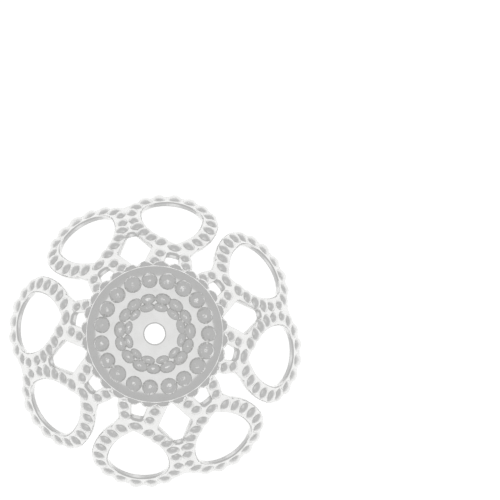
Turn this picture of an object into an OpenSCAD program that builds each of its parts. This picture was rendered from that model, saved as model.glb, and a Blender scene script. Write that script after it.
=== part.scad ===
// Filigree bead cap, pressed from one sheet and silver plated.
// The crown is up and the petal tips rest on the plane z = 0. All sizes are in millimetres.

/* [Cap] */
// Diameter across the petal tips
cap_d = 25; // [21:0.5:30]
// Height from the petal tips to the top of the crown
cap_h = 16.6; // [15.2:0.2:19]
// Thickness of the pressed sheet
wall = 0.35; // [0.28:0.01:0.5]

/* [Crown] */
// Diameter of the upright skirt under the crown, without its edge beads
crown_d = 11.4; // [10.4:0.2:12]
// Threading hole through the middle of the crown
hole_d = 1.7; // [1.2:0.1:2.6]
// Diameter of the flat washer round the hole
washer_d = 3.7; // [3.2:0.1:4]
// How far the crown rises from its shoulder to the washer
crown_rise = 0.35; // [0.2:0.05:0.6]
// Radius of the rounded shoulder
shoulder_r = 0.6; // [0.45:0.05:0.8]

/* [Flare] */
// Lean of the upper flank away from the axis, in degrees
flare_deg = 32.5; // [30:0.5:35]
// Lean of the petal ends away from the axis, in degrees
tip_deg = 22; // [17:1:26]
// Radius of the hollow bend between skirt and flank
skirt_bend_r = 3; // [2:0.5:4]

/* [Filigree] */
// Width of the beaded strap
strap_w = 1.42; // [1.2:0.02:1.6]
// Angle from the middle of a pair to each of its petals, in degrees
pair_deg = 20.8; // [20:0.2:21.4]
// Clear distance kept between neighbouring pairs
pair_gap = 0.42; // [0.3:0.02:0.6]
// Height of a petal opening above its widest place
petal_rise = 5.2; // [4.8:0.1:5.5]
// How far the petal's point leans away from the pair
petal_lean = 0.7; // [0.3:0.1:1]
// Radius of the round top of a crown opening
crown_open_r = 1.02; // [0.8:0.02:1.1]
// Width of the blunt lower end of a crown opening
crown_open_foot = 1; // [0.2:0.1:1.2]
// Plain band between the crown openings and the shoulder
crown_rim = 0.7; // [0.6:0.02:0.9]
// Half width of the four-sided opening inside a pair
kite_half_w = 1.42; // [1.1:0.02:1.5]
// Length of the four-sided opening inside a pair
kite_len = 7.05; // [6.4:0.05:7.2]
// Width of the blunt lower end of the four-sided opening
kite_foot = 0.66; // [0.3:0.02:0.8]

/* [Relief] */
// Seed beads along each petal strap, from one side of the point round to the other
seeds_per_petal = 19; // [13:1:20]
// Diameter of a seed bead where it leaves the strap
seed_d = 0.98; // [0.7:0.02:1.04]
// Height of a seed bead above the strap
seed_h = 0.16; // [0.08:0.01:0.22]
// Beads in the inner ring of the crown
ring1_count = 12; // [11:1:14]
// Beads in the second ring of the crown
ring2_count = 15; // [14:1:18]
// Beads in the outer ring of the crown
ring3_count = 19; // [17:1:22]
// Beads along the edge of the crown
edge_count = 28; // [26:1:32]
// Height of a crown bead as a share of its diameter
bead_rise = 0.29; // [0.22:0.01:0.34]

/* [Hidden] */
$fn = 96;

eps = 0.01;
// flats that stand for one curved side of a petal
side_steps = 6;
tip_r = cap_d / 2;
skirt_r = crown_d / 2;
half_deg = 45;
// one petal fills the room between the pair's middle and the next pair
petal_r = (tip_r * sin(half_deg - pair_deg) - pair_gap)
        / (1 + sin(tip_deg) * sin(half_deg - pair_deg));
open_r = petal_r - strap_w;
point_x = petal_lean;
point_y = petal_rise;
side_out_r = (pow(open_r - point_x, 2) + pow(point_y, 2)) / (2 * (open_r - point_x));
side_in_r = (pow(open_r + point_x, 2) + pow(point_y, 2)) / (2 * (open_r + point_x));

// Flank outline: distance t runs up the slope from the petal tips.
// The cut edge of a tip leans inwards, so the outer face stops this much above z = 0
mid_lean = (flare_deg + tip_deg) / 2;
tip_lift = wall * sin(mid_lean) / cos(mid_lean - tip_deg)
    + petal_r * (1 / cos(mid_lean - tip_deg) - 1) * cos(tip_deg);
bend_t = petal_r;
bend_r = tip_r - bend_t * sin(tip_deg);
bend_z = tip_lift + bend_t * cos(tip_deg);
corner_t = bend_t + (bend_r - skirt_r) / sin(flare_deg);
corner_z = bend_z + (bend_r - skirt_r) / tan(flare_deg);
fillet_t = skirt_bend_r * tan(flare_deg / 2);
fillet_len = skirt_bend_r * flare_deg * PI / 180;
shoulder_z = cap_h - crown_rise - shoulder_r;
rise_deg = atan(crown_rise / (skirt_r - shoulder_r - washer_d / 2));

// The crown opening stands over the petal's point and ends a strap's width above it
point_t = bend_t + petal_rise;
crown_deg = pair_deg + asin(petal_lean * 0.97 / face_r(point_t));
crown_open_z = shoulder_z - crown_rim - crown_open_r;
crown_open_low = face_z(point_t + 1.3 * strap_w);
// middles of the necks on both sides of a crown opening
open_half_deg = asin(crown_open_r / skirt_r);
neck_n_deg = (crown_deg - open_half_deg) / 2;
neck_m_deg = (crown_deg + open_half_deg + half_deg) / 2;
// the four-sided opening's sides run on to a point half a strap below its blunt end
kite_low = 0.4 * strap_w - kite_len / 2;
// cutters reach this far through the sheet on both sides
cut_reach = 0.6 * petal_r;

// Crown rings: radius, and bead diameter as a share of the pitch
ring1_r = washer_d / 2 + 0.4;
ring3_r = skirt_r - shoulder_r - 0.68;
ring2_r = ring1_r + (ring3_r - ring1_r) * 0.376;
edge_r = skirt_r - 0.1;
ring1_d = 0.785 * 2 * PI * ring1_r / ring1_count;
ring2_d = 0.828 * 2 * PI * ring2_r / ring2_count;
ring3_d = 0.89 * 2 * PI * ring3_r / ring3_count;
edge_d = 0.92 * 2 * PI * edge_r / edge_count;

function lean(t) = t < bend_t ? tip_deg : t < corner_t - fillet_t ? flare_deg
    : t < corner_t - fillet_t + fillet_len
        ? flare_deg * (1 - (t - corner_t + fillet_t) / fillet_len) : 0;
function face_r(t) = t < bend_t ? tip_r - t * sin(tip_deg)
    : t < corner_t - fillet_t ? bend_r - (t - bend_t) * sin(flare_deg)
    : t < corner_t - fillet_t + fillet_len ? skirt_r + skirt_bend_r * (1 - cos(lean(t))) : skirt_r;
function face_z(t) = t < bend_t ? tip_lift + t * cos(tip_deg)
    : t < corner_t - fillet_t ? bend_z + (t - bend_t) * cos(flare_deg)
    : t < corner_t - fillet_t + fillet_len ? corner_z + fillet_t - skirt_bend_r * sin(lean(t))
    : corner_z + fillet_t + t - (corner_t - fillet_t + fillet_len);

// Stands its children on the outer face: x runs round the cap, y up the slope, z outwards
module on_face(deg, t, tilt) {
    rotate([0, 0, deg]) translate([face_r(t), 0, face_z(t)])
        rotate([0, -tilt, 0]) rotate([90, 0, 90]) children();
}

// Half outline of the filled cap, drawn the distance g inside the outer face
module outline(g) {
    low = 1.2;
    steps = 4;
    kr = bend_r - g * cos(mid_lean) / cos(mid_lean - tip_deg);
    kz = bend_z - g * sin(mid_lean) / cos(mid_lean - tip_deg);
    foot_r = kr + (kz + low) * tan(tip_deg);
    sr = shoulder_r - g;
    polygon(concat([[0, -low], [foot_r, -low], [kr, kz]],
        [for (i = [steps:-1:0]) let (a = flare_deg * i / steps)
            [skirt_r + skirt_bend_r - (skirt_bend_r + g) * cos(a),
                corner_z + fillet_t - (skirt_bend_r + g) * sin(a)]],
        [[skirt_r - g, shoulder_z], [0, shoulder_z]]));
    translate([skirt_r - shoulder_r, shoulder_z]) circle(r = sr);
    polygon([[0, shoulder_z - eps], [skirt_r - shoulder_r, shoulder_z - eps],
        [skirt_r - shoulder_r + sr * sin(rise_deg), shoulder_z + sr * cos(rise_deg)],
        [washer_d / 2, cap_h - g], [0, cap_h - g]]);
}

// Points up one curved side of a petal: side = 1 leans away from the pair, -1 towards it
function side_pts(side, grow, low_deg) = let (
    r = side > 0 ? side_out_r : side_in_r, cx = open_r - r,
    last = asin(point_y / r))
    [for (i = [0:side_steps]) let (a = low_deg + (last - low_deg) * i / side_steps)
        [side * (cx + (r + grow) * cos(a)), (r + grow) * sin(a)]];

// Egg-shaped petal opening, round at the tip end and pointed towards the crown
module petal_opening() {
    out_side = side_pts(1, 0, 5);
    in_side = side_pts(-1, 0, 7);
    circle(r = open_r);
    polygon(concat([[0, -0.5 * open_r], [open_r - 0.05, -0.3]], out_side,
        [for (i = [side_steps - 1:-1:0]) in_side[i]], [[0.05 - open_r, -0.3]]));
}

// Round-topped crown opening that narrows to a blunt end above each petal
module crown_opening() {
    low = crown_open_z - crown_open_low;
    half = crown_open_foot / 2;
    touch = acos(crown_open_r / norm([half, low])) - atan(low / half);
    touch_x = crown_open_r * cos(touch);
    touch_y = crown_open_r * sin(touch);
    circle(r = crown_open_r);
    polygon([[-half, -low], [half, -low], [touch_x, touch_y], [-touch_x, touch_y]]);
}

// Sheet to clear away outside one petal, from the pair's middle to the next pair
module petal_surround() {
    reach = 1.7 * petal_r;
    peak_y = corner_t - bend_t - 0.1;
    peak_x = face_r(corner_t) * sin(half_deg - pair_deg);
    out_side = side_pts(1, strap_w, 5);
    difference() {
        polygon(concat([[-reach, -reach], [reach, -reach], [reach, peak_y], [peak_x, peak_y],
            [peak_x - 0.08, peak_y - 1.3]],
            [for (i = [side_steps:-1:0]) out_side[i]],
            [[petal_r - 0.06, -0.3], [0, -0.3], [-reach, -0.3]]));
        circle(r = petal_r);
        // small web that joins the two petals of a pair, its corner well inside the petal's rim
        polygon([[-0.75 * petal_r, -0.6 * petal_r], [-petal_r - 0.5, -0.33 * petal_r],
            [-petal_r - 0.5, 0.5], [-0.6 * petal_r, 0.5]]);
    }
}

// Room of one petal, laid a little over its neighbours' so that the cuts run into each other
module wedge() {
    lap = 0.12;
    translate([0, 0, -2]) linear_extrude(height = cap_h)
        polygon([[-2.4 * lap, -lap], [2 * cap_d, -lap], [2 * cap_d, 2 * cap_d + 1.4 * lap]]);
}

module openings() {
    for (q = [0:3], m = [0, 1]) rotate([0, 0, 90 * q]) mirror([0, m, 0]) {
        on_face(pair_deg, bend_t, mid_lean)
            translate([0, 0, -cut_reach]) linear_extrude(height = 2 * cut_reach) petal_opening();
        rotate([0, 0, crown_deg]) translate([0, 0, crown_open_z]) rotate([90, 0, 90])
            translate([0, 0, 0.7 * skirt_r]) linear_extrude(height = skirt_r) crown_opening();
        intersection() {
            on_face(pair_deg, bend_t, mid_lean) translate([0, 0, -1.4 * cut_reach])
                linear_extrude(height = 2.5 * cut_reach) petal_surround();
            wedge();
        }
    }
    for (q = [0:3]) on_face(90 * q, corner_t - kite_len / 2, flare_deg)
        translate([0, 0, -0.6 * cut_reach]) linear_extrude(height = 1.3 * cut_reach)
            polygon([[0, kite_len / 2], [-kite_half_w, -0.03 * kite_len], [-kite_foot / 2, kite_low],
                [kite_foot / 2, kite_low], [kite_half_w, -0.03 * kite_len]]);
}

// A shallow round bead: a sphere sunk so that d and h are what shows
module bead(d, h) {
    r = (pow(d / 2, 2) + pow(h, 2)) / (2 * h);
    translate([0, 0, h - r]) sphere(r = r);
}

function seed_t(x, y) = let (t1 = bend_t + y, a = asin(x / face_r(t1)))
    t1 - sin(lean(t1)) * face_r(t1) * (1 - cos(a));

module seed_at(x, y) {
    t = seed_t(x, y);
    on_face(pair_deg + asin(x / face_r(t)), t, lean(t)) bead(seed_d, seed_h);
}

module seeds() {
    mid = strap_w / 2;
    tip_n = round(seeds_per_petal * 0.47);
    side_n = round((seeds_per_petal - tip_n) / 2);
    out_r = side_out_r + mid;
    in_r = side_in_r + mid;
    // the two side rows stop where they meet at the point
    meet_y = point_y + mid * 1.25;
    out_end = asin(meet_y / out_r);
    in_end = asin(meet_y / in_r);
    for (i = [0:tip_n]) seed_at((open_r + mid) * cos(180 + 180 * i / tip_n),
        (open_r + mid) * sin(180 + 180 * i / tip_n));
    for (i = [1:side_n - 1]) {
        seed_at(open_r - side_out_r + out_r * cos(out_end * i / side_n),
            out_r * sin(out_end * i / side_n));
        seed_at(side_in_r - open_r - in_r * cos(in_end * i / side_n),
            in_r * sin(in_end * i / side_n));
    }
    seed_at(point_x + 0.25, meet_y);
    // seeds on the two legs that climb from the petal's point to the crown: seeds above the
    // hollow bend, and share of the way across to the neck on either side
    for (p = [[-2.1, 0.51, 0.6], [-1.1, 0.7, 0.84], [-0.1, 0.94, 0.97], [0.9, 1, 1]], side = [1, 2]) {
        t = corner_t + p[0] * 1.28 * seed_d;
        neck = side == 1 ? neck_n_deg : neck_m_deg;
        on_face(crown_deg + (neck - crown_deg) * p[side], t, lean(t)) bead(seed_d, seed_h);
    }
}

// One ring of beads on the sloping top of the crown
module bead_ring(count, r, d) {
    for (i = [0:count - 1]) rotate([0, 0, 360 / count * i])
        translate([r, 0, cap_h - (r - washer_d / 2) * tan(rise_deg)]) bead(d, bead_rise * d);
}

module crown_beads() {
    bead_ring(ring1_count, ring1_r, ring1_d);
    bead_ring(ring2_count, ring2_r, ring2_d);
    bead_ring(ring3_count, ring3_r, ring3_d);
    for (i = [0:edge_count - 1]) rotate([0, 0, 360 / edge_count * i])
        translate([edge_r, 0, shoulder_z - 0.1]) sphere(r = edge_d / 2);
}

module bead_cap() {
    color([0.83, 0.84, 0.86])
    difference() {
        union() {
            rotate_extrude() outline(0);
            crown_beads();
            for (q = [0:3], m = [0, 1]) rotate([0, 0, 90 * q]) mirror([0, m, 0]) seeds();
        }
        rotate_extrude() outline(wall);
        openings();
        translate([0, 0, cap_h - hole_d]) cylinder(r = hole_d / 2, h = 2 * hole_d);
    }
}

bead_cap();
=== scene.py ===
from math import acos, asin, atan, ceil, cos, degrees, hypot, pi, radians, sin, sqrt, tan
from random import Random

import bmesh
import bpy
from mathutils import Matrix, Vector, kdtree
from mathutils.geometry import delaunay_2d_cdt, intersect_point_line


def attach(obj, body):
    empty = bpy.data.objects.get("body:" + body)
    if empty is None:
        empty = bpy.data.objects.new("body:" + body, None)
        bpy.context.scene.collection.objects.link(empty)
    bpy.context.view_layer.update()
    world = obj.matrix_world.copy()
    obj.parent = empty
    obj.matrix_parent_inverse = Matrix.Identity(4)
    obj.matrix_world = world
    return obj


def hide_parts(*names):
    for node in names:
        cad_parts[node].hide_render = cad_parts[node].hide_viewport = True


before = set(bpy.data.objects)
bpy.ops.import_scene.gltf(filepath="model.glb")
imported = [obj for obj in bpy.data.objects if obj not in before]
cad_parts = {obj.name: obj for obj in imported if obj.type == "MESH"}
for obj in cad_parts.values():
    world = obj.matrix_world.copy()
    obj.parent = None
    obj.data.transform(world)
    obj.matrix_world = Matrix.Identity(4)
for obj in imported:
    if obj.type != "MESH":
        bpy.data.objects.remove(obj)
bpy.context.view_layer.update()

# The camera
# It looks almost straight down on the crown from half a metre away, with the cap low and left in the
# picture. Its distance and the cap's place are in pixels, of which the cap's width spans 293, and all
# other lengths but the studio's are in millimetres.
mm = 0.001
cap_d = 25.0
picture = 500
pixel = cap_d / 293
camera_far = 6000
cap_x, cap_y = 155.1, 339.0
sensor_w = 36

# the cap's axis as the camera sees it, its turn in the picture, and the height at cap_x, cap_y
cap_axis = Vector((0.0128, 0.0518, 0.9986)).normalized()
turned = radians(13)
fit_height = 4.78

side = Vector((cos(turned), sin(turned), 0))
seen_x = (side - cap_axis * side.dot(cap_axis)).normalized()
seen_y = cap_axis.cross(seen_x)
to_camera = Matrix((seen_x, seen_y, cap_axis)).transposed()
cap_seen = Vector((cap_x - picture / 2, picture / 2 - cap_y, -camera_far)) * pixel
camera_place = Vector((0, 0, fit_height)) - to_camera.transposed() @ cap_seen
camera = bpy.data.objects.new("camera", bpy.data.cameras.new("camera"))
camera.matrix_world = Matrix.Translation(camera_place * mm) @ to_camera.transposed().to_4x4()
camera.data.sensor_width = sensor_w
camera.data.lens = sensor_w * camera_far / picture
camera.data.clip_start = 0.01
camera.data.clip_end = 10
bpy.context.scene.collection.objects.link(camera)
bpy.context.scene.camera = camera

# The studio
# A white light table under a grey tent, with one round soft lamp overhead; sizes here are in metres. The
# table shines round the cap and dims further off, so polished silver shows white where it leans out and
# grey where it faces up.
table_reach = 1.5
table_glow = 1.02
bright_r = 0.042
dim_r = 0.075
dim_share = 0.45
tent_grey = 0.57
lamp_d = 0.46
lamp_z = 0.7
lamp_power = 0.195

table = bmesh.new()
bmesh.ops.create_circle(table, cap_ends=True, segments=96, radius=table_reach)
table_top = bpy.data.objects.new("table_top", bpy.data.meshes.new("table_top"))
table.to_mesh(table_top.data)
table.free()
bpy.context.scene.collection.objects.link(table_top)

table_white = bpy.data.materials.new("table_white")
table_white.use_nodes = True
nodes = table_white.node_tree.nodes
links = table_white.node_tree.links
table_shader = nodes["Principled BSDF"]
table_shader.inputs["Base Color"].default_value = (0.1, 0.1, 0.1, 1)
table_shader.inputs["Roughness"].default_value = 0.8
table_shader.inputs["Specular IOR Level"].default_value = 0.0
table_shader.inputs["Emission Strength"].default_value = table_glow
where = nodes.new("ShaderNodeTexCoord")
distance = nodes.new("ShaderNodeVectorMath")
distance.operation = "LENGTH"
fade = nodes.new("ShaderNodeMapRange")
fade.interpolation_type = "SMOOTHSTEP"
fade.inputs["From Min"].default_value = bright_r
fade.inputs["From Max"].default_value = dim_r
fade.inputs["To Min"].default_value = 1.0
fade.inputs["To Max"].default_value = dim_share
links.new(where.outputs["Object"], distance.inputs[0])
links.new(distance.outputs["Value"], fade.inputs["Value"])
links.new(fade.outputs["Result"], table_shader.inputs["Emission Color"])
table_top.data.materials.append(table_white)

tent = bpy.data.worlds.new("tent")
tent.use_nodes = True
tent.node_tree.nodes["Background"].inputs["Color"].default_value = (tent_grey, tent_grey, tent_grey, 1)
bpy.context.scene.world = tent
bpy.context.scene.view_settings.view_transform = "Standard"

overhead = bpy.data.objects.new("overhead_lamp", bpy.data.lights.new("overhead_lamp", "AREA"))
overhead.data.shape = "DISK"
overhead.data.size = lamp_d
overhead.data.energy = lamp_power
overhead.location = (0, 0, lamp_z)
bpy.context.scene.collection.objects.link(overhead)

# The shell
# One thin sheet of plated brass, pressed and pierced: eight egg-shaped petals in four pairs flare down
# from an upright skirt, with round-topped openings under the crown and a four-sided one inside each pair.
# Half a pair is laid out flat, bent up the slope, mirrored and turned round the cap.
cap_h = 16.6
wall = 0.35
skirt_r = 5.7
crown_rise = 0.2
shoulder_r = 0.75
washer_r = 1.85
hole_r = 0.85

# the face leans by tip_lean at the tips, by flare above a soft crease, and is bent upright at the skirt;
# tip_seat sets the tips' lower edge a hair off the floor
tip_lean = radians(22)
crease = 1.1
flare = radians(32.5)
skirt_bend_r = 3.0
tip_seat = 0.016

# a petal's centre lies pair_angle off the middle of its pair, and its point petal_rise above that centre
# and petal_lean further from the pair's middle
pair_angle = radians(20.8)
between_pairs = radians(45)
pair_gap = 0.42
strap_w = 1.42
petal_rise = 5.2
petal_lean = 0.7

# the openings under the crown, point_bar strap widths above the petals' points, and the kite, as the
# four-sided opening is called below
crown_rim = 0.7
crown_open_r = 1.02
crown_open_foot = 1.0
kite_half_w = 1.5
kite_len = 7.05
kite_foot = 0.66
point_bar = 1.3

# roundings of corners and edges, and how fine the mesh is
corner_round = 0.25
outer_round = 0.1
inner_round = 0.04
hole_round = 0.12
walk_step = 0.02
edge_step = 0.11
grid = 0.2
seam_steps = 24

# the petals' outer radius leaves pair_gap to the middle between two pairs
tip_r = cap_d / 2
half_room = between_pairs - pair_angle
petal_r = (tip_r * sin(half_room) - pair_gap) / (1 + sin(tip_lean) * sin(half_room))
open_r = petal_r - strap_w

# distances up the slope: to the crease at the petals' centres, to the corner in which flank and skirt
# would meet, and to the start of the hollow bend that rounds it
mid_lean = (flare + tip_lean) / 2
bend_t = petal_r
corner_t = bend_t + (tip_r - bend_t * sin(tip_lean) - skirt_r) / sin(flare)
hollow_t = corner_t - skirt_bend_r * tan(flare / 2)
hollow_len = skirt_bend_r * flare
tip_lift = wall * sin(mid_lean) / cos(mid_lean - tip_lean) + tip_seat
shoulder_z = cap_h - crown_rise - shoulder_r


def lean(t):
    """How far the face leans from upright, at the distance t up the slope from the petals' tips."""
    if t < bend_t - crease:
        return tip_lean
    if t < bend_t + crease:
        return tip_lean + (flare - tip_lean) * (t - bend_t + crease) / (2 * crease)
    if t < hollow_t:
        return flare
    return max(0.0, flare * (1 - (t - hollow_t) / hollow_len))


# radius and height of the outer face, walked up from the tips in short steps
walk = [(tip_r, tip_lift)]
while walk[-1][1] < shoulder_z:
    slant = lean((len(walk) - 0.5) * walk_step)
    walk.append((walk[-1][0] - walk_step * sin(slant), walk[-1][1] + walk_step * cos(slant)))
top_t = (len(walk) - 1) * walk_step
# the last step is drawn onto the crown's shoulder, so that skirt and crown close up
walk[-1] = (skirt_r, shoulder_z)
walk_end = len(walk) - 1.001


def face(t):
    """Radius and height of the outer face at the distance t."""
    place = min(max(t / walk_step, 0.0), walk_end)
    low = walk[int(place)]
    high = walk[int(place) + 1]
    share = place - int(place)
    return low[0] + (high[0] - low[0]) * share, low[1] + (high[1] - low[1]) * share


def stand(angle, t, out=0.0):
    """Place in metres of a point of the face, raised by out from it."""
    r, z = face(t)
    r += out * cos(lean(t))
    z += out * sin(lean(t))
    return Vector((r * cos(angle), r * sin(angle), z)) * mm


def cut_in(angle, t, depth):
    """Place in metres at a depth under the face, going in level as every opening is cut."""
    return stand(angle, t + depth * tan(lean(t)), -depth)


def lay(x, y, angle, t0, tilt):
    """Angle and t where a straight cutter meets the face at x, y of its own plane, which leans by tilt.

    The plane goes through the face at angle and t0, and a few rounds bring t to the height y on it."""
    r0, z0 = face(t0)
    t = t0 + y
    for _ in range(12):
        r, z = face(t)
        turn = asin(max(-1.0, min(1.0, x / r)))
        reached = -sin(tilt) * (r * cos(turn) - r0) + cos(tilt) * (z - z0)
        t += (y - reached) / max(0.5, cos(lean(t) - tilt))
    return angle + asin(max(-1.0, min(1.0, x / face(t)[0]))), t


def arc(cx, cy, r, start, end):
    """Points along an arc, from start to end in degrees, both ends included."""
    steps = max(2, ceil(abs(radians(end - start)) * r / edge_step))
    turns = [radians(start + (end - start) * i / steps) for i in range(steps + 1)]
    return [(cx + r * cos(a), cy + r * sin(a)) for a in turns]


def line(*corners):
    """Points along straight edges between the corners, the last corner left out."""
    points = []
    for (x0, y0), (x1, y1) in zip(corners, corners[1:]):
        steps = max(1, ceil(hypot(x1 - x0, y1 - y0) / edge_step))
        points += [(x0 + (x1 - x0) * i / steps, y0 + (y1 - y0) * i / steps) for i in range(steps)]
    return points


def corner(a, b, c):
    """Points round the corner b on the way from a to c."""
    before = Vector(b).lerp(Vector(a), corner_round / hypot(a[0] - b[0], a[1] - b[1]))
    after = Vector(b).lerp(Vector(c), corner_round / hypot(c[0] - b[0], c[1] - b[1]))
    shares = (0, 0.25, 0.5, 0.75, 1)
    return [tuple(before.lerp(Vector(b), s).lerp(Vector(b).lerp(after, s), s)) for s in shares]


def rounded(start, corners, end):
    """Points from start to end, both left out, with every corner between them rounded."""
    points = [start]
    for a, b, c in zip([start] + corners, corners, corners[1:] + [end]):
        bend = corner(a, b, c)
        points += line(points[-1], bend[0])[1:] + bend
    return (points + line(points[-1], end)[1:])[1:]


# a petal's opening is a half circle at the tip and two longer arcs that meet in its point
out_r = ((open_r - petal_lean) ** 2 + petal_rise ** 2) / (2 * (open_r - petal_lean))
in_r = ((open_r + petal_lean) ** 2 + petal_rise ** 2) / (2 * (open_r + petal_lean))


def tip_and_side(grow):
    """A petal's round tip and its outer side up to the point, grown outwards."""
    side_end = degrees(asin(petal_rise / out_r))
    return arc(0, 0, open_r + grow, 180, 360)[:-1] + arc(open_r - out_r, 0, out_r + grow, 0, side_end)


def petal_plane(points):
    """Points of a flat petal laid on the face."""
    return [lay(x, y, pair_angle, bend_t, mid_lean) for x, y in points]


inner_side = arc(in_r - open_r, 0, in_r, 180 - degrees(asin(petal_rise / in_r)), 180)
petal_opening = petal_plane(tip_and_side(0) + inner_side[1:-1])

# the strap's outer border goes round the tip and up the side to rim_end_y, where the notch takes over
rim_end_y = 5
rim_side = [(x, y) for x, y in tip_and_side(strap_w) if y < rim_end_y]

# over each petal's point stands an opening under the crown: a round arch, which runs straight on from
# touch, in degrees, to a foot with rounded corners
over_point = 0.97
point_t = bend_t + petal_rise
crown_angle = pair_angle + asin(petal_lean * over_point / face(point_t)[0])
crown_open_z = shoulder_z - crown_rim - crown_open_r
crown_open_t = top_t - crown_rim - crown_open_r
crown_low = crown_open_z - face(point_t + point_bar * strap_w)[1]
foot_x = crown_open_foot / 2
touch = degrees(acos(crown_open_r / hypot(foot_x, crown_low)) - atan(crown_low / foot_x))
crown_arch = arc(0, 0, crown_open_r, touch, 180 - touch)
crown_foot = rounded(crown_arch[-1], [(-foot_x, -crown_low), (foot_x, -crown_low)], crown_arch[0])
crown_opening = [lay(x, y, crown_angle, crown_open_t, 0) for x, y in crown_arch + crown_foot]

# the kite has a top point, its widest place a little under the middle, and a narrow foot
kite_low = 0.35 * strap_w - kite_len / 2
kite_mid = -0.03 * kite_len
kite_top = (0, kite_len / 2)
kite_corners = [(-kite_half_w, kite_mid), (-kite_foot / 2, kite_low), (kite_foot / 2, kite_low),
                (kite_half_w, kite_mid)]
kite_edge = [kite_top] + rounded(kite_top, kite_corners, kite_top)
kite = [lay(x, y, 0, corner_t - kite_len / 2, flare) for x, y in kite_edge]

# a web fills the fork between the two petals of a pair, from well inside the straps
web_in = 0.5
web_corners = [(-0.75 * petal_r, -0.6 * petal_r), (-0.6 * petal_r, web_in), (-petal_r - web_in, web_in),
               (-petal_r - web_in, -0.33 * petal_r)]
web = petal_plane(line(*web_corners, web_corners[0]))

# the notch between two pairs runs up a petal's outer side and its leg, through four listed points, to
# a peak at the skirt's bend
peak_x = face(corner_t)[0] * sin(half_room)
peak_y = corner_t - bend_t - 0.1
leg_border = [(2.3, 5.9), (2.1, 6.5), (2.22, 7.2), (2.38, 8.2), (peak_x, peak_y), (peak_x + 0.3, peak_y)]
notch = petal_plane(line(rim_side[-1], *leg_border)[1:])

# half a pair's sheet closes a little past the sector, the eighth of the cap that is kept of it
past = radians(1)
past_t = 1
past_low = 0.2
half_sheet = petal_plane(rim_side) + notch + [
    (between_pairs + past, notch[-1][1]), (between_pairs + past, top_t + past_t), (-past, top_t + past_t),
    (-past, bend_t - past_low)]
seam = [(between_pairs * (1 - i / seam_steps), top_t) for i in range(1, seam_steps)]
side_steps = int((top_t + past_t) / grid)
side_ts = [(top_t + past_t) * i / side_steps - past_t for i in range(side_steps + 1)]
sector = [(between_pairs, t) for t in side_ts] + seam + [(0, t) for t in reversed(side_ts)]
openings = [petal_opening, crown_opening, kite]
outlines = [half_sheet, web]

# the net's points: two rows on either side of every edge, and staggered rows over the rest; doubled points
# and the long sides past the sector are left out by shortest and longest
edge_rows = (0.035, -0.035, 0.1, -0.1)
edge_slack = 0.9
shortest = 0.01
longest = 0.3
row_rise = 0.87
sector_margin = 0.004
top_margin = 0.1
edge_places = [stand(*p) for loop in openings + outlines for p in loop]
edge_tree = kdtree.KDTree(len(edge_places))
for i, place in enumerate(edge_places):
    edge_tree.insert(place, i)
edge_tree.balance()
net_points = []


def add_point(angle, t, clear):
    """Add a point of the net, if it is at least clear away from every edge."""
    if sector_margin < angle < between_pairs - sector_margin and 0 < t < top_t - top_margin:
        if edge_tree.find(stand(angle, t))[2] > clear * mm:
            net_points.append((angle, t))


for loop in openings + outlines:
    for (a0, t0), (a1, t1) in zip(loop, loop[1:] + loop[:1]):
        a, t = (a0 + a1) / 2, (t0 + t1) / 2
        r = face(t)[0]
        length = hypot((a1 - a0) * r, t1 - t0)
        if shortest < length < longest:
            for away in edge_rows:
                a_away = a - away * (t1 - t0) / length / r
                t_away = t + away * (a1 - a0) * r / length
                add_point(a_away, t_away, abs(away) * edge_slack)
row = 0
while row * grid * row_rise < top_t:
    t = row * grid * row_rise
    step = grid / face(t)[0]
    for col in range(int(between_pairs / step) + 1):
        add_point((col + 0.5 * (row % 2)) * step, t, grid)
    row += 1

# the net is drawn flat, with angles as lengths at the radius flat_unit, and keeps the faces that lie in the
# sector, which is loop 0, and in one of the outlines, which come next, but in none of the openings
flat_unit = 8.5
flat_points = []
flat_loops = []
for loop in [sector] + outlines + openings:
    flat_loops.append(list(range(len(flat_points), len(flat_points) + len(loop))))
    flat_points += [Vector((a * flat_unit, t)) for a, t in loop]
flat_points += [Vector((a * flat_unit, t)) for a, t in net_points]
net = delaunay_2d_cdt(flat_points, [], flat_loops, 1, 1e-6)
first_opening = 1 + len(outlines)
net_faces = [f for f, inside in zip(net[2], net[5])
             if 0 in inside and 0 < max(inside) < first_opening]
net_places = {v: (net[0][v].x / flat_unit, net[0][v].y) for f in net_faces for v in f}


def on_seam(v0, v1):
    """Whether a net edge lies where the mirrored half, the next pair or the crown joins on."""
    (a0, t0), (a1, t1) = net_places[v0], net_places[v1]
    joins_side = abs(a0 - a1) < 1e-5 and (a0 < 1e-4 or a0 > between_pairs - 1e-4)
    return joins_side or (t0 > top_t - 1e-4 and t1 > top_t - 1e-4)


# a net edge with one face is a cut edge, unless something joins on there
uses = {}
for f in net_faces:
    for v0, v1 in zip(f, f[1:] + f[:1]):
        uses.setdefault(frozenset((v0, v1)), []).append((v0, v1))
cut_edges = [way[0] for way in uses.values() if len(way) == 1 and not on_seam(*way[0])]
cut_next = {}
for v0, v1 in cut_edges:
    cut_next.setdefault(v0, []).append(v1)
    cut_next.setdefault(v1, []).append(v0)
cut_tree = kdtree.KDTree(len(cut_next))
for v in cut_next:
    cut_tree.insert(stand(*net_places[v]), v)
cut_tree.balance()


def from_edge(place):
    """Distance in mm to the nearest cut edge."""
    start, v, away = cut_tree.find(place)
    for other in cut_next[v]:
        near, share = intersect_point_line(place, start, stand(*net_places[other]))
        if 0 < share < 1:
            away = min(away, (near - place).length)
    return away / mm


def rounding(away, r):
    """How far a face falls off at the distance away from an edge rounded to r."""
    return r - sqrt(r * r - max(r - away, 0) ** 2)


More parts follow.
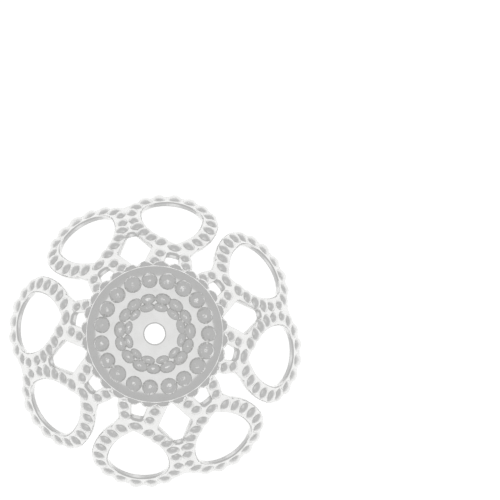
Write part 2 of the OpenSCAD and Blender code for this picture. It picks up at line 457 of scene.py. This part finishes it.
# the crown is a low dome closed on the skirt, with a smooth full rim at its edge and a flat washer round
# the threading hole
rim_r = 4.6
rim_wide = 1.15
rim_tall = 0.58
crown_flat_r = skirt_r - shoulder_r
slope = crown_rise / (crown_flat_r - washer_r)
inner_shoulder = shoulder_r - wall


def crown_z(r):
    """Height of the crown's outer face inside its rim."""
    return cap_h - max(r - washer_r, 0) * slope


rim_z = crown_z(rim_r) - rim_tall
crown_outside = [(skirt_r, shoulder_z)]
rim_turns = [radians(6 * i) for i in range(-2, 16)]
crown_outside += [(rim_r + rim_wide * cos(a), rim_z + rim_tall * sin(a)) for a in rim_turns]
ring_steps = 24
for i in range(1, ring_steps):
    r = rim_r + (hole_r + hole_round - rim_r) * i / ring_steps
    crown_outside.append((r, crown_z(r)))
hole_steps = (hole_round, 0.08, 0.045, 0.02, 0)
hole_band = 0.2
crown_outside += [(hole_r + away, cap_h - rounding(away, hole_round)) for away in hole_steps]
crown_outside += [(hole_r, cap_h - hole_band), (hole_r, cap_h - wall)]
crown_inside = [(hole_r, cap_h - wall)]
crown_inside += [(r, crown_z(r) - wall) for r in (washer_r, 3.0, 4.0, crown_flat_r)]
shoulder_turns = [radians(15 * i) for i in range(1, 7)]
crown_inside += [(crown_flat_r + inner_shoulder * sin(a), shoulder_z + inner_shoulder * cos(a))
                 for a in shoulder_turns]
shell = bmesh.new()
for chain, finish in ((crown_outside, 0), (crown_inside, 1)):
    before = set(shell.faces)
    row = [shell.verts.new((r * mm, 0, z * mm)) for r, z in chain]
    joins = [shell.edges.new(ends) for ends in zip(row, row[1:])]
    bmesh.ops.spin(shell, geom=row + joins, axis=(0, 0, 1), cent=(0, 0, 0), angle=2 * pi,
                   steps=8 * seam_steps, use_merge=True)
    for f in set(shell.faces) - before:
        f.material_index = finish
crown_made = {*shell.verts, *shell.edges, *shell.faces}

# half a pair, with a wall of three strips round every opening so that the pierced faces stay flat between
# their rounded edges
strip_in = 0.03
weld = 0.003
sides = {}
for v, (a, t) in net_places.items():
    away = from_edge(stand(a, t))
    depths = [rounding(away, outer_round), wall - rounding(away, inner_round)]
    if v in cut_next:
        depths[1:1] = [outer_round + strip_in, wall - inner_round - strip_in]
    sides[v] = [shell.verts.new(cut_in(a, t, depth)) for depth in depths]
for f in net_faces:
    shell.faces.new([sides[v][0] for v in f])
    shell.faces.new([sides[v][-1] for v in reversed(f)]).material_index = 1
for v0, v1 in cut_edges:
    for i, finish in enumerate((0, 2, 2)):
        strip = [sides[v1][i], sides[v0][i], sides[v0][i + 1], sides[v1][i + 1]]
        shell.faces.new(strip).material_index = finish
half = [e for e in [*shell.verts, *shell.edges, *shell.faces] if e not in crown_made]
mirrored = bmesh.ops.duplicate(shell, geom=half)["geom"]
bmesh.ops.scale(shell, vec=(1, -1, 1), verts=[e for e in mirrored if isinstance(e, bmesh.types.BMVert)])
bmesh.ops.spin(shell, geom=half + mirrored, axis=(0, 0, 1), cent=(0, 0, 0), angle=2 * pi, steps=4,
               use_duplicate=True)
bmesh.ops.remove_doubles(shell, verts=shell.verts, dist=weld * mm)
bmesh.ops.recalc_face_normals(shell, faces=shell.faces)
for f in shell.faces:
    f.smooth = True

# the plate is uneven at two scales, as small pressings are
grain = bpy.data.node_groups.new("plate_grain", "ShaderNodeTree")
grain.interface.new_socket("Wave Scale", in_out="INPUT", socket_type="NodeSocketFloat").default_value = 1100
grain.interface.new_socket("Pit Scale", in_out="INPUT", socket_type="NodeSocketFloat").default_value = 7000
grain.interface.new_socket("Pit Share", in_out="INPUT", socket_type="NodeSocketFloat").default_value = 0.1
grain.interface.new_socket("Height", in_out="OUTPUT", socket_type="NodeSocketFloat")
grain.interface.new_socket("Mottle", in_out="OUTPUT", socket_type="NodeSocketFloat")
nodes = grain.nodes
links = grain.links
given = nodes.new("NodeGroupInput")
out = nodes.new("NodeGroupOutput")
where = nodes.new("ShaderNodeTexCoord")
waves = nodes.new("ShaderNodeTexNoise")
waves.inputs["Detail"].default_value = 2
pits = nodes.new("ShaderNodeTexNoise")
pits.inputs["Detail"].default_value = 3
both = nodes.new("ShaderNodeMix")
links.new(where.outputs["Object"], waves.inputs["Vector"])
links.new(where.outputs["Object"], pits.inputs["Vector"])
links.new(given.outputs["Wave Scale"], waves.inputs["Scale"])
links.new(given.outputs["Pit Scale"], pits.inputs["Scale"])
links.new(given.outputs["Pit Share"], both.inputs["Factor"])
links.new(waves.outputs["Fac"], both.inputs["A"])
links.new(pits.outputs["Fac"], both.inputs["B"])
links.new(both.outputs["Result"], out.inputs["Height"])
links.new(waves.outputs["Fac"], out.inputs["Mottle"])

# a thin grey film lies all over, darker round the feet of seeds and beads: tarnish where polish doesn't
# reach, and painted shade in the recess at each foot
tarnish_and_shade = bpy.data.node_groups.new("foot_tarnish_and_shade", "ShaderNodeTree")
tarnish_and_shade.interface.new_socket("Mottle", in_out="INPUT", socket_type="NodeSocketFloat")
tarnish_and_shade.interface.new_socket("Amount", in_out="INPUT", socket_type="NodeSocketFloat").default_value = 0.5
tarnish_and_shade.interface.new_socket("Film", in_out="INPUT", socket_type="NodeSocketFloat").default_value = 0.2
tarnish_and_shade.interface.new_socket("Bright", in_out="INPUT", socket_type="NodeSocketColor")
tarnish_and_shade.interface.new_socket("Dull", in_out="INPUT", socket_type="NodeSocketColor")
tarnish_and_shade.interface.new_socket("Color", in_out="OUTPUT", socket_type="NodeSocketColor")
tarnish_and_shade.interface.new_socket("Mask", in_out="OUTPUT", socket_type="NodeSocketFloat")
nodes = tarnish_and_shade.nodes
links = tarnish_and_shade.links
given = nodes.new("NodeGroupInput")
out = nodes.new("NodeGroupOutput")
foot = nodes.new("ShaderNodeAttribute")
foot.attribute_name = "foot"
uneven = nodes.new("ShaderNodeMapRange")
uneven.inputs["From Min"].default_value = 0.35
uneven.inputs["From Max"].default_value = 0.65
uneven.inputs["To Min"].default_value = 0.3
uneven.inputs["To Max"].default_value = 1.0
gather = nodes.new("ShaderNodeMath")
gather.operation = "MULTIPLY"
spread = nodes.new("ShaderNodeMath")
spread.operation = "MAXIMUM"
mask = nodes.new("ShaderNodeMath")
mask.operation = "MULTIPLY"
colour = nodes.new("ShaderNodeMix")
colour.data_type = "RGBA"
links.new(given.outputs["Mottle"], uneven.inputs["Value"])
links.new(foot.outputs["Fac"], gather.inputs[0])
links.new(given.outputs["Amount"], gather.inputs[1])
links.new(gather.outputs["Value"], spread.inputs[0])
links.new(given.outputs["Film"], spread.inputs[1])
links.new(spread.outputs["Value"], mask.inputs[0])
links.new(uneven.outputs["Result"], mask.inputs[1])
links.new(mask.outputs["Value"], colour.inputs["Factor"])
links.new(mask.outputs["Value"], out.inputs["Mask"])
# sockets 6, 7 and 2 are the A, B and Result of a mix of colours
links.new(given.outputs["Bright"], colour.inputs[6])
links.new(given.outputs["Dull"], colour.inputs[7])
links.new(colour.outputs[2], out.inputs["Color"])


def silver(name, bright, stain_and_shade, amount, smooth, rough, waves, bump):
    """A silver finish that goes from bright and smooth to stain_and_shade and rough where tarnish gathers
    and shade is painted.

    The plate's waves are a scale of noise, and bump is their height in metres."""
    finish = bpy.data.materials.new(name)
    finish.use_nodes = True
    nodes = finish.node_tree.nodes
    links = finish.node_tree.links
    shader = nodes["Principled BSDF"]
    shader.inputs["Metallic"].default_value = 1.0
    surface = nodes.new("ShaderNodeGroup")
    surface.node_tree = grain
    surface.inputs["Wave Scale"].default_value = waves
    # this group darkens the colour round the feet of seeds and beads: tarnish and painted shade
    film_and_shade = nodes.new("ShaderNodeGroup")
    film_and_shade.node_tree = tarnish_and_shade
    film_and_shade.inputs["Amount"].default_value = amount
    film_and_shade.inputs["Bright"].default_value = bright
    film_and_shade.inputs["Dull"].default_value = stain_and_shade
    roughness = nodes.new("ShaderNodeMapRange")
    roughness.inputs["To Min"].default_value = smooth
    roughness.inputs["To Max"].default_value = rough
    relief = nodes.new("ShaderNodeBump")
    relief.inputs["Distance"].default_value = bump
    links.new(surface.outputs["Mottle"], film_and_shade.inputs["Mottle"])
    links.new(film_and_shade.outputs["Color"], shader.inputs["Base Color"])
    links.new(film_and_shade.outputs["Mask"], roughness.inputs["Value"])
    links.new(roughness.outputs["Result"], shader.inputs["Roughness"])
    links.new(surface.outputs["Height"], relief.inputs["Height"])
    links.new(relief.outputs["Normal"], shader.inputs["Normal"])
    return finish


def plated(name, mesh, *finishes):
    """Make the object of one piece from its bmesh, in its finishes, riding on the cap's one body."""
    piece = bpy.data.objects.new(name, bpy.data.meshes.new(name))
    mesh.to_mesh(piece.data)
    mesh.free()
    bpy.context.scene.collection.objects.link(piece)
    for finish in finishes:
        piece.data.materials.append(finish)
    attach(piece, "root")
    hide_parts("bead_cap")
    return piece


# polished outside, satin inside where no polish reaches, and matt on the pierced edges, which are coloured
# paler than the plate: painted light, so the cut faces read as a pale band
clean_silver = (0.85, 0.85, 0.845, 1)
grey_silver = (0.68, 0.675, 0.65, 1)
polished = silver("silver_polished", bright=clean_silver, stain_and_shade=grey_silver,
                  amount=0.3, smooth=0.2, rough=0.34, waves=1100, bump=0.03 * mm)
satin = silver("silver_satin", bright=(0.8, 0.8, 0.795, 1), stain_and_shade=(0.5, 0.5, 0.48, 1),
               amount=0.8, smooth=0.33, rough=0.5, waves=1400, bump=0.03 * mm)
pierced = silver("silver_pierced", bright=(0.98, 0.98, 0.975, 1), stain_and_shade=(0.85, 0.85, 0.83, 1),
                 amount=0.3, smooth=0.36, rough=0.5, waves=2600, bump=0.03 * mm)
cap_shell = plated("cap_shell", shell, polished, satin, pierced)

# The seeds
# Pressed up from the straps, of the same sheet: a row of low seeds, a little wider than long, runs round
# every petal and up the two legs from its point to the crown. They differ a little in size, as from any
# worn die.
seed_wide = 0.6
seed_long = 0.5
seed_tall = 0.5
seed_raise = 0.04
leg_seed_wide = 0.47
seed_tilt = radians(9)
tip_tilt = radians(12)
tip_longer = 0.15
tip_lower = 0.3
foot_slope = radians(56)
bead_sink = 0.35
chance = Random(4)

# a low round bead of foot radius 1, cut off flat a little under its foot
bead_shape = bmesh.new()
bmesh.ops.create_uvsphere(bead_shape, u_segments=14, v_segments=12, radius=1 / sin(foot_slope))
bmesh.ops.translate(bead_shape, verts=bead_shape.verts, vec=(0, 0, -1 / tan(foot_slope)))
everything = list(bead_shape.verts) + list(bead_shape.edges) + list(bead_shape.faces)
bmesh.ops.bisect_plane(bead_shape, geom=everything, plane_co=(0, 0, -bead_sink), plane_no=(0, 0, 1),
                       clear_inner=True)
bmesh.ops.contextual_create(bead_shape, geom=[e for e in bead_shape.edges if e.is_boundary])
for f in bead_shape.faces:
    f.smooth = len(f.verts) < 5
bead_mesh = bpy.data.meshes.new("bead_shape")
bead_shape.to_mesh(bead_mesh)
bead_shape.free()


def add_bead(mesh, place, deep, wide, tall):
    """Add a bead to mesh in the matrix place, scaled by its half depth, half width and height."""
    count = len(mesh.verts)
    mesh.from_mesh(bead_mesh)
    mesh.verts.ensure_lookup_table()
    scale = Matrix.Diagonal((deep * mm, wide * mm, tall * mm, 1))
    bmesh.ops.transform(mesh, matrix=place @ scale, verts=mesh.verts[count:])


# the seeds round a petal follow its tip, its outer side and its inner side, each an arc with a centre, a
# radius and turns; a seed's place goes with a point beside it, which gives the way across the strap
half_strap = strap_w / 2
seed_out = 0.07
seed_in = 0.02
beside = 0.3
tip_n = 8
out_n = 5
in_shares = (0.19, 0.335, 0.48, 0.625, 0.77)
meet_y = petal_rise + 0.89
out_end = asin(meet_y / (out_r + half_strap))
in_end = asin(meet_y / (in_r + half_strap))
strap_rows = [
    (0, open_r + half_strap + seed_out, [pi + pi * i / tip_n for i in range(tip_n + 1)]),
    (open_r - out_r, out_r + half_strap + seed_out, [out_end * i / out_n for i in range(1, out_n)]),
    (in_r - open_r, in_r + half_strap - seed_in, [pi - in_end * share for share in in_shares])]
seed_places = [petal_plane([(centre + r * cos(a), r * sin(a)) for r in (row_r, row_r + beside)])
               for centre, row_r, turns in strap_rows for a in turns]
top_x = petal_lean - 0.1
top_y = meet_y - 0.12
seed_places.append(petal_plane([(top_x, top_y), (top_x + beside, top_y)]))

# rows of two seeds, one on each leg: steps up the slope from the skirt's bend, then how far each has moved
# from over the petal's point to the middle of the neck beside the opening under the crown
leg_seeds = [(-2.1, 0.51, 0.56), (-1.1, 0.7, 0.78), (-0.1, 0.94, 0.95), (0.9, 1, 1)]
leg_pitch = 1.254
beside_turn = 0.05
crown_open_half = asin(crown_open_r / skirt_r)
necks = (crown_angle - crown_open_half) / 2, (crown_angle + crown_open_half + between_pairs) / 2
for steps_up, *shares in leg_seeds:
    for neck, share in zip(necks, shares):
        spot = crown_angle + (neck - crown_angle) * share, corner_t + steps_up * leg_pitch
        seed_places.append([spot, (spot[0] + beside_turn, spot[1])])

middle_clear = 0.05
seed_reach = (seed_wide + seed_long) / 2
feet = []
seed_row = bmesh.new()
for pair_turn in (0, pi / 2, pi, 3 * pi / 2):
    for hand in (-1, 1):
        for (a, t), (a_beside, t_beside) in seed_places:
            angle = pair_turn + hand * a
            size = chance.uniform(0.96, 1.04)
            wide = seed_wide if t < point_t + strap_w else leg_seed_wide
            wide = min(wide, a * face(t)[0] - middle_clear)
            near_tip = max(0, 1 - t / bend_t)
            tilt = lean(t) + seed_tilt * lean(t) / flare + tip_tilt * near_tip
            outward = Vector((cos(tilt) * cos(angle), cos(tilt) * sin(angle), sin(tilt)))
            across = stand(pair_turn + hand * a_beside, t_beside) - stand(angle, t)
            across = (across - outward * across.dot(outward)).normalized()
            turn = Matrix((across, outward.cross(across), outward)).transposed().to_4x4()
            long = seed_long * (1 + tip_longer * near_tip)
            tall = seed_tall * (1 - tip_lower * near_tip)
            place = Matrix.Translation(stand(angle, t, seed_raise)) @ turn
            add_bead(seed_row, place, wide * size, long * size, tall * size)
            feet.append((stand(angle, t), seed_reach))

# the seeds are coloured a little paler than the straps they are pressed from: painted light, so they read
# less dark
seeded = silver("silver_seeded", bright=(0.89, 0.89, 0.885, 1), stain_and_shade=grey_silver,
                amount=0.3, smooth=0.36, rough=0.5, waves=2600, bump=0.05 * mm)
seeds = plated("seeds", seed_row, seeded)

# The crown beads
# Three rings of round beads are pressed up from the crown, the inner two crowded together and the outer
# one set off by a bare band. A ring's row holds its count and radius, half a bead's depth and width, its
# height, and the ring's turn in degrees.
crown_rings = [(12, 2.25, 0.37, 0.61, 0.25, 3.5), (15, 2.92, 0.48, 0.67, 0.3, 15.5),
               (19, 4.46, 0.68, 0.71, 0.38, 6.5)]
bead_rise = (1 - cos(foot_slope)) / sin(foot_slope)
bead_rows = bmesh.new()
for count, ring_r, deep, wide, rise, start in crown_rings:
    for i in range(count):
        angle = radians(start) + 2 * pi * (i + chance.uniform(-0.04, 0.04)) / count
        r = ring_r * chance.uniform(0.99, 1.01)
        size = chance.uniform(0.94, 1.06)
        foot = Matrix.Rotation(angle, 4, "Z") @ Matrix.Translation(Vector((r, 0, crown_z(r))) * mm)
        add_bead(bead_rows, foot, deep * size, wide * size, rise / bead_rise)
        feet.append((foot.to_translation(), (deep + wide) / 2))

beaded = silver("silver_beaded", bright=clean_silver, stain_and_shade=grey_silver,
                amount=0.3, smooth=0.15, rough=0.3, waves=2600, bump=0.12 * mm)
crown_beads = plated("crown_beads", bead_rows, beaded)

# The edge beads
# A last row of beads stands out from the skirt close under the crown's rim, each half a bead a little
# wider than tall. They are pressed up in one with the skirt and polished like the crown's.
edge_count = 28
edge_half_h = 0.48
edge_half_w = 0.74
edge_rise = 0.5
edge_drop = 0.2
edge_turn = radians(7.4)
edge_reach = 0.62
edge_spot = Matrix.Translation(Vector((skirt_r, 0, shoulder_z - edge_drop)) * mm)
tip_out = Matrix.Rotation(pi / 2, 4, "Y")
edge_row = bmesh.new()
for i in range(edge_count):
    angle = edge_turn + 2 * pi * (i + chance.uniform(-0.03, 0.03)) / edge_count
    size = chance.uniform(0.95, 1.05)
    foot = Matrix.Rotation(angle, 4, "Z") @ edge_spot
    add_bead(edge_row, foot @ tip_out, edge_half_h * size, edge_half_w * size, edge_rise / bead_rise)
    feet.append((foot.to_translation(), edge_reach))
edge_beads = plated("edge_beads", edge_row, beaded)

# The marks at the feet
# Polish doesn't reach the bottom of seeds and beads, and shade falls in the recess there, so the plate is
# painted greyer in a ring round each: tarnish and painted shade together. Every point of the four pieces
# stores how near it is to such a ring, measured in radii of its seed or bead.
ring_place = 1.02
ring_width = 0.3
foot_tree = kdtree.KDTree(len(feet))
for i, (place, _) in enumerate(feet):
    foot_tree.insert(place, i)
foot_tree.balance()


def mark_feet(piece):
    """Store how near each point is to the foot of a seed or bead, as 0 to 1 in the attribute foot."""
    layer = piece.data.attributes.new("foot", "FLOAT", "POINT")
    for v, mark in zip(piece.data.vertices, layer.data):
        _, which, away = foot_tree.find(v.co)
        mark.value = max(0.0, 1 - abs(away / mm / feet[which][1] - ring_place) / ring_width)


for piece in (cap_shell, seeds, crown_beads, edge_beads):
    mark_feet(piece)
